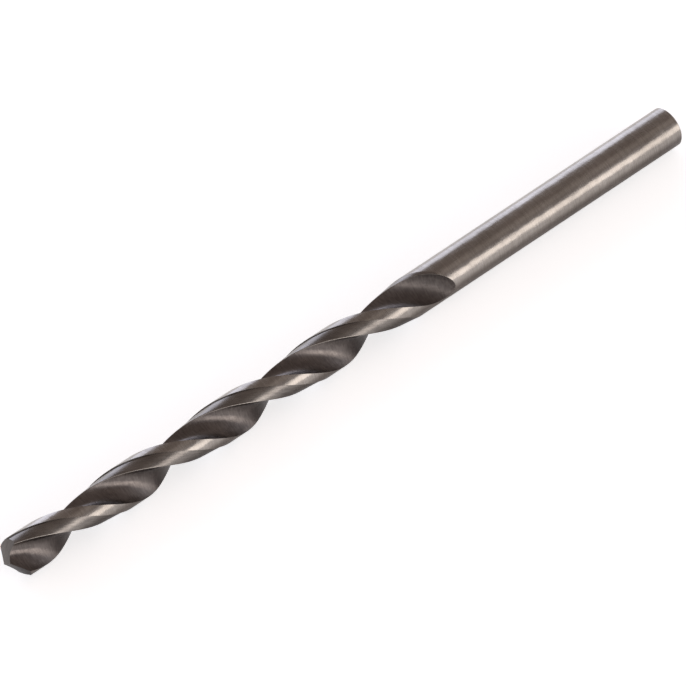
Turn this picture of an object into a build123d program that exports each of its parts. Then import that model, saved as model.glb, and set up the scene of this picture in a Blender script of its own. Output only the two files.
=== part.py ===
from build123d import *
import math
import os

# Twist drill for metal, right-hand, made from one bar of high speed steel.
# Sizes are in millimetres and angles in degrees.

# Bar and shank
drill_diameter = 4.0
overall_length = 82.55
shank_diameter = 3.94
shank_chamfer = 0.12

# Flutes
flute_count = 2
flute_length = 53.8
helix_lead = 24.32
web_at_point = 0.95
web_growth_per_length = 0.006
flute_wheel_radius = 6.0
lift_direction = 50.0

# The helix is a little slower at the point, and again before the wheel leaves the bar.
slow_start_length = 9.0
slow_start_angle = 9.5
slow_end_length = 24.0
slow_end_angle = 11.0

# Lands, measured back from the cutting edge
land_angle = 75.0
margin_angle = 31.0
margin_step = 0.11
heel_depth = 0.36
clearance_short_of_flute = 1.4
clearance_fade_length = 9.0

# Ground point
point_angle = 118.0
lip_relief_angle = 15.0
flank_cone_half_angle = 34.0
flank_cone_distance = 12.0

# Turn of the drill about its own axis as it lies
resting_roll = 70.6

# How far cutters reach past the metal, and how closely their sections follow each other
reach = 0.5
reach_past_heel = 12.0
turn_between_sections = 40.0
runout_section_count = 6
rake_point_count = 7

drill_radius = drill_diameter / 2
shank_radius = shank_diameter / 2
cutter_radius = max(drill_radius, shank_radius) + reach
lip_slope = 1 / math.tan(math.radians(point_angle / 2))
turn_per_length = 360 / helix_lead
clearance_length = flute_length - clearance_short_of_flute


def lead_angle(z):
    """Angle of the first cutting edge about the drill's axis at height z above the point."""
    before = max(0.0, slow_start_length - z) / slow_start_length
    after = max(0.0, z - (flute_length - slow_end_length)) / slow_end_length
    slowed = slow_start_angle * before**2 - slow_end_angle * after**2
    return resting_roll + turn_per_length * z + slowed


def at(z, radius, ahead, lift=(0.0, 0.0)):
    """Point of a section: ahead is the angle in the cutting direction from the cutting edge."""
    angle = math.radians(lead_angle(z) - ahead)
    lift_angle = math.radians(lead_angle(z) - lift[1])
    x = radius * math.cos(angle) + lift[0] * math.cos(lift_angle)
    y = radius * math.sin(angle) + lift[0] * math.sin(lift_angle)
    return Vector(x, y, z)


def web_at(z):
    """Thickness of the core between the flutes, which grows towards the shank."""
    return web_at_point + web_growth_per_length * max(0.0, z)


def rake_point(along_lip, web):
    """A straight lip, screwed along the helix into one section: radius and angle ahead."""
    radius = math.hypot(along_lip, web / 2)
    ahead = math.degrees(math.atan2(web / 2, along_lip))
    return radius, ahead + along_lip * lip_slope * turn_per_length


def along_lip_at(radius, web):
    return math.sqrt(radius**2 - (web / 2) ** 2)


def flute_section(z, lift):
    """Straight-lip rake face, round back and an outer arc that clears the bar."""
    web = web_at(z)
    lip_end = along_lip_at(cutter_radius, web)
    corner_ahead = rake_point(along_lip_at(drill_radius, web), web)[1]
    moved = (lift, lift_direction)

    rake = []
    for step in range(rake_point_count):
        radius, ahead = rake_point(lip_end * (1 - step / (rake_point_count - 1)), web)
        rake.append(at(z, radius, ahead - corner_ahead, moved))

    # The back is an arc that touches the web and passes through the heel, then runs on straight.
    touch_ahead = 90 - corner_ahead
    heel_radius = drill_radius - heel_depth
    heel_ahead = 360 / flute_count - land_angle
    heel_along = heel_radius * math.cos(math.radians(heel_ahead - touch_ahead))
    back_radius = (heel_radius**2 - web * heel_along + web**2 / 4) / (2 * heel_along - web)
    centre_distance = web / 2 + back_radius
    arc_end_radius = (heel_radius + drill_radius) / 2
    outside_squared = arc_end_radius**2 - centre_distance**2 - back_radius**2
    swing = math.acos(outside_squared / (2 * centre_distance * back_radius))

    def back_point(angle, straight=0.0):
        along = centre_distance + back_radius * math.cos(angle) + straight * math.sin(angle)
        across = back_radius * math.sin(angle) - straight * math.cos(angle)
        return math.hypot(along, across), touch_ahead + math.degrees(math.atan2(across, along))

    back_middle = at(z, *back_point((math.pi + swing) / 2), moved)
    back_arc_end = at(z, *back_point(swing), moved)
    back_end_radius, end_ahead = back_point(swing, cutter_radius - arc_end_radius)
    back_end = at(z, back_end_radius, end_ahead, moved)
    start_ahead = rake_point(lip_end, web)[1] - corner_ahead
    outside = at(z, cutter_radius, (start_ahead + end_ahead) / 2, moved)

    edges = [
        Spline(*rake).edge(),
        ThreePointArc(rake[-1], back_middle, back_arc_end).edge(),
        Line(back_arc_end, back_end).edge(),
        ThreePointArc(back_end, outside, rake[0]).edge(),
    ]
    return Face(Wire(edges))


def section_heights(start, end, runout):
    """Heights of the sections: even turns of the helix, then closer ones in the run-out."""
    step = turn_between_sections / turn_per_length
    plain_count = math.ceil((runout - start) / step)
    plain = [start + (runout - start) * i / plain_count for i in range(plain_count)]
    close_step = (end - runout) / runout_section_count
    close = [runout + close_step * i for i in range(runout_section_count + 1)]
    return plain + close


def flute_cutter():
    """One flute, whose floor rises on the round of the grinding wheel at its end."""
    exit_depth = drill_radius - web_at(flute_length) / 2
    wheel_rise = flute_wheel_radius - exit_depth
    runout_length = math.sqrt(flute_wheel_radius**2 - wheel_rise**2)
    runout = flute_length - runout_length
    end = flute_length + reach
    sections = []
    for z in section_heights(-reach, end, runout):
        past = max(0.0, z - runout)
        lift = flute_wheel_radius - math.sqrt(flute_wheel_radius**2 - past**2)
        sections.append(flute_section(z, lift))
    return loft(sections)


def clearance_section(z, rise):
    """The land behind the margin, relieved more and more towards the heel."""
    foot_radius = drill_radius - margin_step + rise
    fall_per_angle = (heel_depth - margin_step) / (land_angle - margin_angle)
    end_behind = land_angle + reach_past_heel

    def floor_point(behind):
        return at(z, foot_radius - fall_per_angle * (behind - margin_angle), -behind)

    foot = floor_point(margin_angle)
    middle = floor_point((margin_angle + end_behind) / 2)
    end = floor_point(end_behind)
    outer_start = at(z, cutter_radius, -margin_angle)
    outer_middle = at(z, cutter_radius, -(margin_angle + end_behind) / 2)
    outer_end = at(z, cutter_radius, -end_behind)
    edges = [
        Line(outer_start, foot).edge(),
        ThreePointArc(foot, middle, end).edge(),
        Line(end, outer_end).edge(),
        ThreePointArc(outer_end, outer_middle, outer_start).edge(),
    ]
    return Face(Wire(edges))


def clearance_cutter():
    """Relief of one land, which fades out just before the flutes end."""
    fade = clearance_length - clearance_fade_length
    sections = []
    for z in section_heights(-reach, clearance_length, fade):
        past = max(0.0, z - fade) / clearance_fade_length
        sections.append(clearance_section(z, heel_depth * past**2))
    return loft(sections)


def flank_cutter():
    """Grinds one flank as part of a cone that lies along the lip and falls away behind it."""
    slope = math.radians(point_angle / 2)
    half_angle = math.radians(flank_cone_half_angle)
    relief = math.radians(lip_relief_angle)
    lip_offset = web_at_point / 2

    # The chisel edge crosses the axis at height zero, so the lip line starts a little below.
    curve_radius = flank_cone_distance * math.tan(half_angle)
    start_height = -lip_offset * math.tan(relief) - lip_offset**2 / (2 * curve_radius)
    corner_along = along_lip_at(drill_radius, web_at_point)
    corner_height = start_height + corner_along * lip_slope
    corner_angle = math.atan2(lip_offset, corner_along)
    lip_angle = math.radians(lead_angle(corner_height)) + corner_angle

    outward = Vector(math.cos(lip_angle), math.sin(lip_angle), 0)
    behind = Vector(-math.sin(lip_angle), math.cos(lip_angle), 0)
    upward = Vector(0, 0, 1)
    lip = outward * math.sin(slope) + upward * math.cos(slope)
    inward = upward * math.sin(slope) - outward * math.cos(slope)
    normal = inward * math.cos(relief) - behind * math.sin(relief)
    axis = lip * math.cos(half_angle) + normal * math.sin(half_angle)
    apex = upward * start_height - behind * lip_offset - lip * flank_cone_distance

    cone_length = 2 * (flank_cone_distance + drill_diameter)
    cone_radius = cone_length * math.tan(half_angle)
    cone = Solid.make_cone(0, cone_radius, cone_length, Plane(origin=apex, z_dir=axis))
    disc_height = reach + drill_radius * lip_slope + drill_diameter * math.tan(relief)
    disc = Solid.make_cylinder(cutter_radius, disc_height, Plane((0, 0, -reach)))
    return disc - cone


def bar():
    """Turned blank: the body tapers back a hair from the point to the shank."""
    with BuildPart() as blank:
        with BuildSketch(Plane.XZ):
            with BuildLine():
                Polyline(
                    (0, 0),
                    (drill_radius, 0),
                    (shank_radius, flute_length),
                    (shank_radius, overall_length - shank_chamfer),
                    (shank_radius - shank_chamfer, overall_length),
                    (0, overall_length),
                    close=True,
                )
            make_face()
        revolve(axis=Axis.Z)
    return blank.part


def drill():
    """The whole drill, standing on its point: relieved, then fluted, then pointed."""

    def all_round(cutter):
        return [cutter.rotate(Axis.Z, 360 / flute_count * i) for i in range(flute_count)]

    relieved = bar() - all_round(clearance_cutter())
    fluted = relieved - all_round(flute_cutter())
    return fluted - all_round(flank_cutter())


standing = drill()
lying = standing.rotate(Axis.Y, 90).moved(Location((-overall_length / 2, 0, drill_radius)))

os.makedirs("parts", exist_ok=True)
export_step(lying, "parts/drill_bit.step")
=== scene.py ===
import math

import bpy
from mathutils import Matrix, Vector


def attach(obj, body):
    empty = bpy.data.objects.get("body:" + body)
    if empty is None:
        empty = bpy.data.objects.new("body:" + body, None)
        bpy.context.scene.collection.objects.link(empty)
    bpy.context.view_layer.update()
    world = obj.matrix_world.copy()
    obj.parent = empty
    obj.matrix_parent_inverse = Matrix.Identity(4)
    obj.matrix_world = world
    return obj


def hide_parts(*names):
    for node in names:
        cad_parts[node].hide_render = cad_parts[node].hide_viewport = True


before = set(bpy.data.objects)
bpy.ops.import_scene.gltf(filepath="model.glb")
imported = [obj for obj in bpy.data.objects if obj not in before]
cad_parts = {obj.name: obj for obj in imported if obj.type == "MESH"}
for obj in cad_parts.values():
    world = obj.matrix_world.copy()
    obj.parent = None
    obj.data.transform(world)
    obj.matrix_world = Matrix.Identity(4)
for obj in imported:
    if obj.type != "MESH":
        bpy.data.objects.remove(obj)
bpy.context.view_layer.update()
scene = bpy.context.scene

# Camera: a long lens far away, level, looking down on the drill from the side of its point.
# The drill runs from the lower left of the picture to the upper right.
camera_azimuth = math.radians(-43.4)
camera_elevation = math.radians(44.52)
camera_distance = 1.68963
camera_shift_left = 0.000092
camera_shift_down = 0.000191
sighted_point = Vector((0.000345, 0.0, 0.002))
camera_data = bpy.data.cameras.new("camera")
camera_data.type = "PERSP"
camera_data.sensor_width = 36.0
camera_data.lens = 976.6
camera_data.clip_start = 0.1
camera_data.clip_end = 20.0
camera = bpy.data.objects.new("camera", camera_data)
scene.collection.objects.link(camera)
scene.camera = camera
looking = Vector((
    -math.sin(camera_azimuth) * math.cos(camera_elevation),
    math.cos(camera_azimuth) * math.cos(camera_elevation),
    -math.sin(camera_elevation),
))
camera_right = Vector((math.cos(camera_azimuth), math.sin(camera_azimuth), 0.0))
camera_up = camera_right.cross(looking)
camera.location = (
    sighted_point
    - looking * camera_distance
    - camera_right * camera_shift_left
    - camera_up * camera_shift_down
)
camera.rotation_euler = looking.to_track_quat("-Z", "Y").to_euler()

# Floor: a plain pale studio sweep that the drill lies on, with the drill's soft shadow on it.
# It glows white to the camera and to the steel, except for a painted shade close in front of the
# drill.
floor_size = 6.0
floor_colour = (0.86, 0.86, 0.87, 1.0)
floor_white = 0.60

# Painted shadow: close under the front of the drill, the floor's glow that the steel mirrors is cut
# back.
painted_shade_full_within, painted_shade_gone_beyond = 0.0025, 0.0065
painted_shade_full_at_y, painted_shade_gone_at_y = -0.001, 0.002
bpy.ops.object.select_all(action="DESELECT")
bpy.ops.mesh.primitive_plane_add(size=floor_size, location=(0, 0, 0))
floor = bpy.context.object
floor.name = "studio_floor"
floor_paint = bpy.data.materials.new("studio_floor_paint")
floor_paint.use_nodes = True
nodes = floor_paint.node_tree.nodes
links = floor_paint.node_tree.links
nodes.clear()

floor_rays = nodes.new("ShaderNodeLightPath")
floor_place = nodes.new("ShaderNodeTexCoord")
floor_sides = nodes.new("ShaderNodeSeparateXYZ")
# The painted shade is full for mirrored rays shorter than the first length and gone past the second.
floor_far = nodes.new("ShaderNodeMapRange")
floor_far.inputs["From Min"].default_value = painted_shade_full_within
floor_far.inputs["From Max"].default_value = painted_shade_gone_beyond
# The painted shade is full in front of the first floor place across the drill and gone behind the
# second.
floor_behind = nodes.new("ShaderNodeMapRange")
floor_behind.inputs["From Min"].default_value = painted_shade_full_at_y
floor_behind.inputs["From Max"].default_value = painted_shade_gone_at_y
links.new(floor_rays.outputs["Ray Length"], floor_far.inputs["Value"])
links.new(floor_place.outputs["Object"], floor_sides.inputs[0])
links.new(floor_sides.outputs["Y"], floor_behind.inputs["Value"])

# Glow outside the painted shade: far from the steel, or behind the drill's front.
glow_outside_painted_shade = nodes.new("ShaderNodeMath")
glow_outside_painted_shade.operation = "MAXIMUM"
floor_mirrored = nodes.new("ShaderNodeMath")
floor_mirrored.operation = "MULTIPLY"
floor_seen = nodes.new("ShaderNodeMath")
floor_seen.operation = "MAXIMUM"
floor_level = nodes.new("ShaderNodeMath")
floor_level.operation = "MULTIPLY"
floor_level.inputs[1].default_value = floor_white
links.new(floor_behind.outputs[0], glow_outside_painted_shade.inputs[0])
links.new(floor_far.outputs[0], glow_outside_painted_shade.inputs[1])
links.new(floor_rays.outputs["Is Glossy Ray"], floor_mirrored.inputs[0])
links.new(glow_outside_painted_shade.outputs[0], floor_mirrored.inputs[1])
links.new(floor_rays.outputs["Is Camera Ray"], floor_seen.inputs[0])
links.new(floor_mirrored.outputs[0], floor_seen.inputs[1])
links.new(floor_seen.outputs[0], floor_level.inputs[0])

floor_glow = nodes.new("ShaderNodeEmission")
floor_diffuse = nodes.new("ShaderNodeBsdfDiffuse")
floor_diffuse.inputs["Color"].default_value = floor_colour
floor_sum = nodes.new("ShaderNodeAddShader")
floor_output = nodes.new("ShaderNodeOutputMaterial")
links.new(floor_level.outputs[0], floor_glow.inputs["Strength"])
links.new(floor_diffuse.outputs[0], floor_sum.inputs[0])
links.new(floor_glow.outputs[0], floor_sum.inputs[1])
links.new(floor_sum.outputs[0], floor_output.inputs["Surface"])
floor.data.materials.append(floor_paint)

# Light: a white studio with a dim ceiling. A warm soft box stands in front of the drill, a wide
# cool panel behind it, and a weak panel hangs above.
lamp_distance = 2.2
world = bpy.data.worlds.new("studio")
scene.world = world
world.use_nodes = True
nodes = world.node_tree.nodes
links = world.node_tree.links
nodes.clear()
sky_place = nodes.new("ShaderNodeTexCoord")
sky_height = nodes.new("ShaderNodeSeparateXYZ")
walls = nodes.new("ShaderNodeValToRGB")
walls.color_ramp.elements[0].position = 0.25
walls.color_ramp.elements[0].color = (1.0, 1.0, 1.05, 1.0)
walls.color_ramp.elements[1].position = 0.85
walls.color_ramp.elements[1].color = (0.30, 0.25, 0.23, 1.0)
for place, tone in (
    (0.475, (0.70, 0.68, 0.70, 1.0)),
    (0.60, (0.45, 0.40, 0.39, 1.0)),
    (0.70, (0.38, 0.33, 0.31, 1.0)),
):
    walls.color_ramp.elements.new(place).color = tone
room = nodes.new("ShaderNodeBackground")
world_output = nodes.new("ShaderNodeOutputWorld")
links.new(sky_place.outputs["Generated"], sky_height.inputs[0])
links.new(sky_height.outputs["Z"], walls.inputs[0])
links.new(walls.outputs["Color"], room.inputs["Color"])
links.new(room.outputs[0], world_output.inputs["Surface"])

for name, direction, width, depth, energy, tone in (
    ("soft_box", (0.33, -0.895, 0.238), 1.95, 0.97, 11.8, (1.0, 0.93, 0.86)),
    ("back_panel", (0.30, 0.91, 0.27), 2.7, 1.25, 15.2, (0.72, 0.79, 1.0)),
    ("ceiling_panel", (0.49, -0.34, 0.80), 1.4, 0.5, 0.42, (1.0, 0.94, 0.88)),
):
    lamp_data = bpy.data.lights.new(name, "AREA")
    lamp_data.shape = "RECTANGLE"
    lamp_data.size = width
    lamp_data.size_y = depth
    lamp_data.energy = energy
    lamp_data.color = tone
    lamp = bpy.data.objects.new(name, lamp_data)
    scene.collection.objects.link(lamp)
    lamp.location = Vector(direction).normalized() * lamp_distance
    lamp.rotation_euler = (-lamp.location).to_track_quat("-Z", "Y").to_euler()

scene.view_settings.view_transform = "Standard"

# Drill bit: one bar of high speed steel, turned, then fluted and relieved by grinding wheels
# that follow the helix, and ground to a point on a cone. Lengths here are in millimetres and
# angles in degrees, and heights are measured from the point along the drill's axis.
per_metre = 1000
overall_length = 82.55
drill_radius = 2.0
shank_radius = 1.97
shank_chamfer = 0.12
flute_length = 53.8
helix_lead = 24.32
slow_start_length = 9.0
slow_start_angle = 9.5
slow_end_length = 24.0
slow_end_angle = 11.0
resting_roll = 70.6
half_point_angle = 59.0
web_at_point = 0.95
web_growth = 0.006
wheel_radius = 6.0
lift_direction = 50.0
land_angle = 75.0
margin_angle = 31.0
margin_step = 0.11
heel_depth = 0.36
clearance_end = 52.4
clearance_fade = 9.0
past_surface = 0.5
hair = 1e-6

turn_per_length = 360 / helix_lead
lip_slope = 1 / math.tan(math.radians(half_point_angle))
clearance_fall = (heel_depth - margin_step) / (land_angle - margin_angle)


def lead_angle(z):
    """Angle of the first cutting edge about the drill's axis."""
    before = max(0.0, slow_start_length - z) / slow_start_length
    after = max(0.0, z - (flute_length - slow_end_length)) / slow_end_length
    slowed = slow_start_angle * before**2 - slow_end_angle * after**2
    return resting_roll + turn_per_length * z + slowed


def bar_radius(z):
    """Radius of the bar, which tapers back a hair from the point to the shank."""
    return drill_radius + (shank_radius - drill_radius) * min(1.0, max(0.0, z) / flute_length)


def clearance_faded(z):
    """How far the clearance has faded out, from 0 to 1, and over 1 past its end."""
    return max(0.0, z - (clearance_end - clearance_fade)) / clearance_fade


def clearance_foot(z):
    """Radius of the relieved land right behind the margin."""
    return drill_radius - margin_step + heel_depth * clearance_faded(z) ** 2


def land_radius(z, behind):
    """Radius of the land at an angle behind its cutting edge."""
    if behind <= margin_angle or clearance_faded(z) > 1:
        return bar_radius(z)
    return min(bar_radius(z), clearance_foot(z) - clearance_fall * (behind - margin_angle))


def round_point(radius, behind):
    """Place in the section, with the cutting edge on the right and the land behind it below."""
    return radius * math.cos(math.radians(-behind)), radius * math.sin(math.radians(-behind))


def flute_curve(z, steps=70):
    """Points of the flute's section from the heel side to the lip side: radius and angle ahead."""
    web = web_at_point + web_growth * max(0.0, z)
    outer = drill_radius + past_surface
    lip_end = math.sqrt(outer**2 - (web / 2) ** 2)
    full_lip = math.sqrt(drill_radius**2 - (web / 2) ** 2)
    lip_turn = lip_slope * turn_per_length
    corner = math.degrees(math.atan2(web / 2, full_lip)) + full_lip * lip_turn

    # The round back touches the web, and passes through the heel.
    touch = 90 - corner
    heel_radius = drill_radius - heel_depth
    heel_along = heel_radius * math.cos(math.radians(180 - land_angle - touch))
    back = (heel_radius**2 - web * heel_along + web**2 / 4) / (2 * heel_along - web)
    middle = web / 2 + back
    swing = math.acos((outer**2 - middle**2 - back**2) / (2 * middle * back))

    # Towards its end the wheel lifts out of the bar, along its own round.
    depth = drill_radius - (web_at_point + web_growth * flute_length) / 2
    runout = flute_length - math.sqrt(wheel_radius**2 - (wheel_radius - depth) ** 2)
    lift = wheel_radius - math.sqrt(wheel_radius**2 - max(0.0, z - runout) ** 2)

    points = []
    for i in range(steps):
        angle = swing + (math.pi - swing) * i / steps
        along = middle + back * math.cos(angle)
        across = back * math.sin(angle)
        points.append((math.hypot(along, across), touch + math.degrees(math.atan2(across, along))))
    for i in range(steps + 1):
        along = lip_end * i / steps
        ahead = math.degrees(math.atan2(web / 2, along)) + along * lip_turn - corner
        points.append((math.hypot(along, web / 2), ahead))
    moved = []
    for radius, ahead in points:
        x = radius * math.cos(math.radians(ahead)) + lift * math.cos(math.radians(lift_direction))
        y = radius * math.sin(math.radians(ahead)) + lift * math.sin(math.radians(lift_direction))
        moved.append((math.hypot(x, y), math.degrees(math.atan2(y, x))))
    return moved


def trimmed_flute(z):
    """The part of the flute's section that lies inside the metal, or nothing past its end."""
    curve = flute_curve(z)

    def outside(point):
        radius, ahead = point
        return radius - land_radius(z, 180 - ahead if ahead > lift_direction else 0.0)

    def crossing(i, j):
        a, b = outside(curve[i]), outside(curve[j])
        t = a / (a - b)
        return tuple(p + (q - p) * t for p, q in zip(curve[i], curve[j]))

    inside = [i for i, point in enumerate(curve) if outside(point) < 0]
    if not inside:
        return []
    first, last = inside[0], inside[-1]
    return [crossing(first - 1, first)] + curve[first : last + 1] + [crossing(last + 1, last)]


def spread(points, count, skipped):
    """The same line without its first stretch, with its points evenly spaced along it."""
    flat = [round_point(radius, -ahead) for radius, ahead in points]
    travelled = [0.0]
    for p, q in zip(flat, flat[1:]):
        travelled.append(travelled[-1] + math.dist(p, q))
    result = []
    j = 0
    for i in range(count + 1):
        goal = skipped + (travelled[-1] - skipped) * i / count
        while j < len(flat) - 2 and travelled[j + 1] < goal:
            j += 1
        t = (goal - travelled[j]) / max(1e-9, travelled[j + 1] - travelled[j])
        result.append(tuple(p + (q - p) * min(1.0, t) for p, q in zip(flat[j], flat[j + 1])))
    return result


# Columns of the mesh run along the helix. The heel is a corner that is rounded by a hair, and
# less so where the flute runs out.
margin_columns = 20
step_columns = 2
clearance_columns = 26
heel_columns = 5
flute_columns = 52
evening_length = 1.2
heel_round = 0.055
least_heel_round = 0.2
heel_round_fade_start = 47.0
heel_round_fade = 5.0
heel_round_per_width = 0.15


def half_ring(z, corner, heel, heel_start, flute):
    """One land and the flute behind it, as points of the section seen from the cutting edge."""
    proud = clearance_foot(z) - bar_radius(z)
    shoulder = margin_angle + max(0.0, proud) / clearance_fall
    if clearance_faded(z) > 1:
        shoulder = heel_start
    shoulder = min(shoulder, heel_start)

    # Past the clearance, the columns of margin and clearance become evenly spaced.
    even = min(1.0, max(0.0, (z - clearance_end) / evening_length))
    even = even * even * (3 - 2 * even)
    land_columns = margin_columns + clearance_columns
    ring = []
    for i in range(land_columns + 1):
        if i <= margin_columns:
            behind = -corner + (shoulder + corner) * i / margin_columns
        else:
            behind = shoulder + (heel_start - shoulder) * (i - margin_columns) / clearance_columns
        evenly = -corner + (heel_start + corner) * i / land_columns
        behind = behind * (1 - even) + evenly * even
        radius = bar_radius(z) if i <= margin_columns else land_radius(z, behind)
        ring.append(round_point(radius, behind))
        if i == margin_columns:
            foot = land_radius(z, behind + hair) if behind < heel_start else radius
            for k in range(1, step_columns + 1):
                ring.append(round_point(radius + (foot - radius) * k / step_columns, behind))

    land_end = ring[-1]
    sharp_heel = round_point(land_radius(z, heel), heel)
    flute_start = (-flute[0][0], -flute[0][1])
    for k in range(1, heel_columns + 1):
        t = k / heel_columns
        weights = ((1 - t) ** 2, 2 * t * (1 - t), t * t)
        corners = zip(land_end, sharp_heel, flute_start)
        ring.append(tuple(sum(w * p for w, p in zip(weights, along)) for along in corners))
    return ring + [(-x, -y) for x, y in flute[1:-1]]


def full_ring(lead, half):
    """Both lands and flutes, turned to the place of the cutting edge at that height."""
    c, s = math.cos(math.radians(lead)), math.sin(math.radians(lead))
    # Ahead is clockwise about the axis seen from the shank, so y is turned over.
    placed = [(x * c + y * s, x * s - y * c) for x, y in half]
    placed += [(-x, -y) for x, y in placed]
    return placed + placed[:1]


def flute_ring(z):
    """A section through the flutes."""
    trimmed = trimmed_flute(z)
    width = math.dist(round_point(*trimmed[0]), round_point(*trimmed[-1]))
    faded = max(0.0, z - heel_round_fade_start) / heel_round_fade
    rounding = min(heel_round * max(least_heel_round, 1 - faded), heel_round_per_width * width)
    flute = spread(trimmed, flute_columns, rounding)
    heel = 180 - trimmed[0][1]
    heel_start = heel - math.degrees(rounding / trimmed[0][0])
    return full_ring(lead_angle(z), half_ring(z, trimmed[-1][1], heel, heel_start, flute))


# The flute ends where the rising wheel leaves the bar, which is found by halving.
low, high = flute_length - 1.0, flute_length + past_surface
for _ in range(40):
    halfway = (low + high) / 2
    if trimmed_flute(halfway):
        low = halfway
    else:
        high = halfway
flute_end = low
end_ahead = min(flute_curve(flute_end))[1]


def shank_ring(z, radius):
    """A round section, with its columns in line with those of the flute's end."""
    closed_flute = [round_point(shank_radius, -end_ahead)] * (flute_columns + 1)
    half = half_ring(z, end_ahead, 180 - end_ahead, 180 - end_ahead, closed_flute)
    ring = full_ring(lead_angle(flute_end), half)
    return [(x * radius / shank_radius, y * radius / shank_radius) for x, y in ring]


# The rings start a little past the point, which is ground later, and are closer in the run-out.
past_point = 0.4
ring_step = 0.25
close_ring_step = 0.07
close_rings_start = 49.0
last_flute_gap = 0.02
evening_step = 0.1
evening_reach = 1.6
rings = []
z = -past_point
while z < flute_end - last_flute_gap:
    rings.append((z, flute_ring(z)))
    z += ring_step if z < close_rings_start else close_ring_step
z = flute_end
while z < flute_end + evening_reach:
    rings.append((z, shank_ring(z, shank_radius)))
    z += evening_step
rings.append((overall_length - shank_chamfer, shank_ring(overall_length, shank_radius)))
rings.append((overall_length, shank_ring(overall_length, shank_radius - shank_chamfer)))

# A flat grid is rolled round the axis ring by ring, then its seam and its ends are closed.
# The drill stands on its point up to here, and its rings are laid on its side.
around = len(rings[0][1])
bpy.ops.object.select_all(action="DESELECT")
bpy.ops.mesh.primitive_grid_add(
    x_subdivisions=around - 1, y_subdivisions=len(rings) - 1, size=overall_length / per_metre
)
drill = bpy.context.object
drill.name = "ground_drill_bit"
mesh = drill.data
middle = overall_length / 2
for j, (z, ring) in enumerate(rings):
    for i, (x, y) in enumerate(ring):
        place = ((z - middle) / per_metre, y / per_metre, (drill_radius - x) / per_metre)
        mesh.vertices[j * around + i].co = place

# The pattern of each ground face follows the helix: along it, and across it, in millimetres.
column_width = 0.07
ground_map = mesh.uv_layers.active
ground_map_name = ground_map.name
for loop in mesh.loops:
    j, i = divmod(loop.vertex_index, around)
    ground_map.data[loop.index].uv = (rings[j][0], column_width * i)

# Each kind of ground face has its own finish.
finishes = ("ground_steel", "relieved_steel", "flute_steel", "flank_steel", "end_steel")
for name in finishes:
    mesh.materials.append(bpy.data.materials.new(name))
half_columns = (around - 1) // 2
heel_column = margin_columns + step_columns + clearance_columns
for face in mesh.polygons:
    j, i = divmod(min(face.vertices), around)
    column = i % half_columns
    if rings[j][0] < clearance_end and margin_columns <= column < heel_column:
        face.material_index = finishes.index("relieved_steel")
    if rings[j][0] < flute_end - hair and column >= heel_column + heel_columns:
        face.material_index = finishes.index("flute_steel")

bpy.ops.object.mode_set(mode="EDIT")
bpy.ops.mesh.select_all(action="SELECT")
bpy.ops.mesh.remove_doubles(threshold=2e-6)
bpy.ops.mesh.dissolve_degenerate(threshold=1e-7)
bpy.ops.mesh.select_all(action="DESELECT")
bpy.ops.mesh.select_non_manifold()
bpy.ops.mesh.fill_holes(sides=0)
bpy.ops.mesh.select_all(action="SELECT")
bpy.ops.mesh.normals_make_consistent(inside=False)
bpy.ops.object.mode_set(mode="OBJECT")

# The two flanks of the point are ground on a cone that lies along each lip. What the wheel
# takes off is a disc round the point, less that cone.
flank_half_angle = math.radians(34.0)
flank_distance = 12.0
flank_cone_length = 32.0
relief = math.radians(15.0)
disc_radius = 2.6
disc_below = 0.9
disc_height = 3.1
half_point = math.radians(half_point_angle)
lip_offset = web_at_point / 2
curve_radius = flank_distance * math.tan(flank_half_angle)
start_height = -lip_offset * math.tan(relief) - lip_offset**2 / (2 * curve_radius)
corner_along = math.sqrt(drill_radius**2 - lip_offset**2)
corner_lead = math.radians(lead_angle(start_height + corner_along * lip_slope))
lip_angle = corner_lead + math.atan2(lip_offset, corner_along)


def lying(point):
    """Place of a point of the drill once it lies on its side, in metres."""
    return Vector((point[2] - middle, point[1], drill_radius - point[0])) / per_metre


for turn in (0.0, math.pi):
    outward = Vector((math.cos(lip_angle + turn), math.sin(lip_angle + turn), 0))
    behind = Vector((-math.sin(lip_angle + turn), math.cos(lip_angle + turn), 0))
    upward = Vector((0, 0, 1))
    lip = outward * math.sin(half_point) + upward * math.cos(half_point)
    inward = upward * math.sin(half_point) - outward * math.cos(half_point)
    normal = inward * math.cos(relief) - behind * math.sin(relief)
    axis = lip * math.cos(flank_half_angle) + normal * math.sin(flank_half_angle)
    apex = upward * start_height - behind * lip_offset - lip * flank_distance
    towards_apex = Vector((-axis.z, -axis.y, axis.x))
    bpy.ops.object.select_all(action="DESELECT")
    bpy.ops.mesh.primitive_cone_add(
        vertices=720,
        radius1=flank_cone_length * math.tan(flank_half_angle) / per_metre,
        radius2=0.0,
        depth=flank_cone_length / per_metre,
        location=lying(apex + axis * (flank_cone_length / 2)),
        rotation=towards_apex.to_track_quat("Z", "Y").to_euler(),
    )
    cone = bpy.context.object
    bpy.ops.mesh.primitive_cylinder_add(
        vertices=64,
        radius=disc_radius / per_metre,
        depth=disc_height / per_metre,
        location=lying((0, 0, disc_height / 2 - disc_below)),
        rotation=(0, math.pi / 2, 0),
    )
    disc = bpy.context.object
    for target, cutter in ((disc, cone), (drill, disc)):
        bpy.ops.object.select_all(action="DESELECT")
        bpy.context.view_layer.objects.active = target
        cut = target.modifiers.new("cut", "BOOLEAN")
        cut.operation = "DIFFERENCE"
        cut.solver = "EXACT"
        cut.object = cutter
        bpy.ops.object.modifier_apply(modifier="cut")
        bpy.data.objects.remove(cutter)

sharpest_smooth_edge = math.radians(30)
bpy.ops.object.select_all(action="DESELECT")
bpy.context.view_layer.objects.active = drill
drill.select_set(True)
bpy.ops.object.shade_smooth_by_angle(angle=sharpest_smooth_edge)

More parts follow.
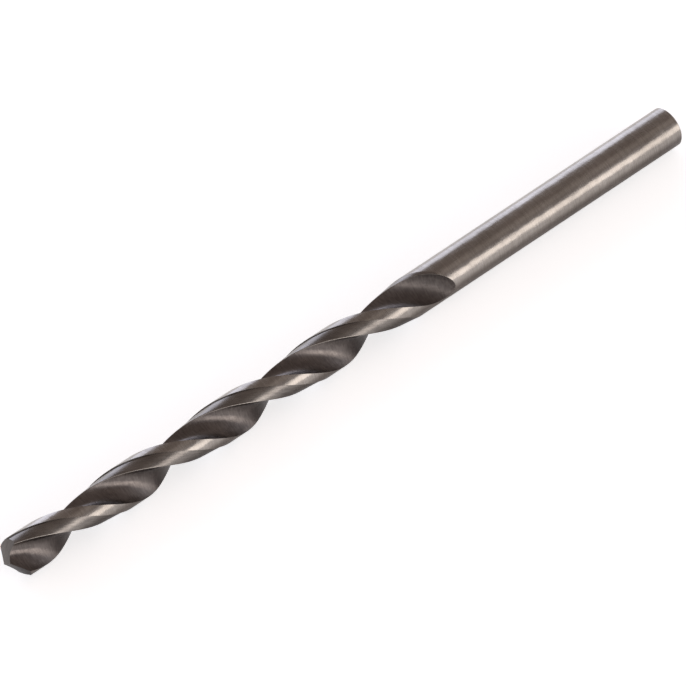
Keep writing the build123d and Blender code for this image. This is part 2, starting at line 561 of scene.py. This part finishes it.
# The flanks face away from the shank, close to the point. The shank's end faces the other way.
point_zone_end = -0.039
flank_facing = -0.6
end_facing = 0.9
for face in mesh.polygons:
    if face.normal.x < flank_facing and face.center.x < point_zone_end:
        face.material_index = finishes.index("flank_steel")
    if face.normal.x > end_facing:
        face.material_index = finishes.index("end_steel")


def steel_finish(name, dark, light, roughness, grain, grain_height, mottle, mottle_height, turn=0.0):
    """Bare steel with fine grinding lines and a mottled sheen. A grain is as long as its lines.

    A grain of two lengths lies on the map of the ground faces, in millimetres, and one of three
    lengths lies in space, in metres.
    """
    clouds_per_mottle = 7
    cloud_share = 0.45
    tone_range = (0.36, 0.64)
    shine_range = (0.34, 0.66)
    steel = bpy.data.materials[name]
    steel.use_nodes = True
    nodes = steel.node_tree.nodes
    links = steel.node_tree.links
    shader = nodes["Principled BSDF"]
    shader.inputs["Metallic"].default_value = 1.0
    place = nodes.new("ShaderNodeTexCoord")
    where = place.outputs["UV"] if len(grain) == 2 else place.outputs["Object"]
    clouds_size = tuple(clouds_per_mottle * length for length in mottle)
    patterns = []
    for size, detail in ((grain, 4.0), (mottle, 3.0), (clouds_size, 2.0)):
        stretched = nodes.new("ShaderNodeMapping")
        stretched.vector_type = "TEXTURE"
        stretched.inputs["Rotation"].default_value = (turn, 0.0, 0.0)
        stretched.inputs["Scale"].default_value = (*size, 1.0)[:3]
        noise = nodes.new("ShaderNodeTexNoise")
        noise.inputs["Scale"].default_value = 1.0
        noise.inputs["Detail"].default_value = detail
        links.new(where, stretched.inputs["Vector"])
        links.new(stretched.outputs["Vector"], noise.inputs["Vector"])
        patterns.append(noise.outputs["Fac"])
    lines, spots, clouds = patterns

    blend = nodes.new("ShaderNodeMix")
    blend.inputs["Factor"].default_value = cloud_share
    links.new(lines, blend.inputs[2])
    links.new(clouds, blend.inputs[3])
    tones = nodes.new("ShaderNodeValToRGB")
    tones.color_ramp.elements[0].position = tone_range[0]
    tones.color_ramp.elements[0].color = (*dark, 1.0)
    tones.color_ramp.elements[1].position = tone_range[1]
    tones.color_ramp.elements[1].color = (*light, 1.0)
    links.new(blend.outputs[0], tones.inputs[0])
    links.new(tones.outputs["Color"], shader.inputs["Base Color"])

    shine = nodes.new("ShaderNodeMapRange")
    shine.inputs["From Min"].default_value = shine_range[0]
    shine.inputs["From Max"].default_value = shine_range[1]
    shine.inputs["To Min"].default_value = roughness[0]
    shine.inputs["To Max"].default_value = roughness[1]
    links.new(spots, shine.inputs["Value"])
    links.new(shine.outputs[0], shader.inputs["Roughness"])

    normal = None
    for pattern, rise in ((lines, grain_height), (spots, mottle_height)):
        bump = nodes.new("ShaderNodeBump")
        bump.inputs["Strength"].default_value = 1.0
        bump.inputs["Distance"].default_value = rise
        links.new(pattern, bump.inputs["Height"])
        if normal:
            links.new(normal, bump.inputs["Normal"])
        normal = bump.outputs["Normal"]
    links.new(normal, shader.inputs["Normal"])
    return shader


# The shank and the margins are ground bright, round the bar.
bright_dark = (0.25, 0.226, 0.205)
bright_light = (0.355, 0.326, 0.302)
steel_finish(
    "ground_steel", bright_dark, bright_light, roughness=(0.17, 0.30),
    grain=(0.00008, 0.0016, 0.0016), grain_height=0.55e-6,
    mottle=(0.0010, 0.00035, 0.00035), mottle_height=1.5e-5,
)

# The lands behind the margins are duller, with lines along the helix.
steel_finish(
    "relieved_steel", dark=(0.14, 0.126, 0.117), light=(0.24, 0.22, 0.204), roughness=(0.24, 0.35),
    grain=(1.6, 0.09), grain_height=1.2e-6,
    mottle=(0.30, 0.22), mottle_height=6e-6,
)

# The flutes are darkest, with the wheel's marks across them.
flute_shader = steel_finish(
    "flute_steel", dark=(0.108, 0.093, 0.087), light=(0.184, 0.161, 0.150), roughness=(0.27, 0.37),
    grain=(0.15, 0.9), grain_height=3.0e-6,
    mottle=(0.5, 0.35), mottle_height=5e-6,
)

# The flanks have lines across the lips, and the end of the shank is plainly ground.
steel_finish(
    "flank_steel", dark=(0.085, 0.076, 0.071), light=(0.14, 0.128, 0.12), roughness=(0.30, 0.42),
    grain=(0.0008, 0.00006, 0.0009), grain_height=1.5e-6,
    mottle=(0.0004, 0.0003, 0.0003), mottle_height=4e-6, turn=math.pi / 2 - lip_angle,
)
steel_finish(
    "end_steel", bright_dark, bright_light, roughness=(0.30, 0.42),
    grain=(0.0008, 0.0001, 0.0009), grain_height=1.5e-6,
    mottle=(0.0004, 0.0003, 0.0003), mottle_height=4e-6,
)

# The wheel leaves the flutes duller towards their end.
dull_start, dull_end = 45.0, 51.0
dull_roughness = 0.24
nodes = bpy.data.materials["flute_steel"].node_tree.nodes
links = bpy.data.materials["flute_steel"].node_tree.links
flute_shine = flute_shader.inputs["Roughness"].links[0].from_socket
along_drill = nodes.new("ShaderNodeSeparateXYZ")
duller = nodes.new("ShaderNodeMapRange")
duller.inputs["From Min"].default_value = dull_start
duller.inputs["From Max"].default_value = dull_end
duller.inputs["To Max"].default_value = dull_roughness
dulled = nodes.new("ShaderNodeMath")
links.new(nodes["Texture Coordinate"].outputs["UV"], along_drill.inputs[0])
links.new(along_drill.outputs["X"], duller.inputs["Value"])
links.new(duller.outputs[0], dulled.inputs[0])
links.new(flute_shine, dulled.inputs[1])
links.new(dulled.outputs[0], flute_shader.inputs["Roughness"])

# The wheel's marks cross the flutes, so their sheen is drawn out along the helix.
flute_shader.inputs["Anisotropic"].default_value = 0.88
along_flute = nodes.new("ShaderNodeTangent")
along_flute.direction_type = "UV_MAP"
along_flute.uv_map = ground_map_name
links.new(along_flute.outputs["Tangent"], flute_shader.inputs["Tangent"])

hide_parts("drill_bit")
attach(drill, "root")
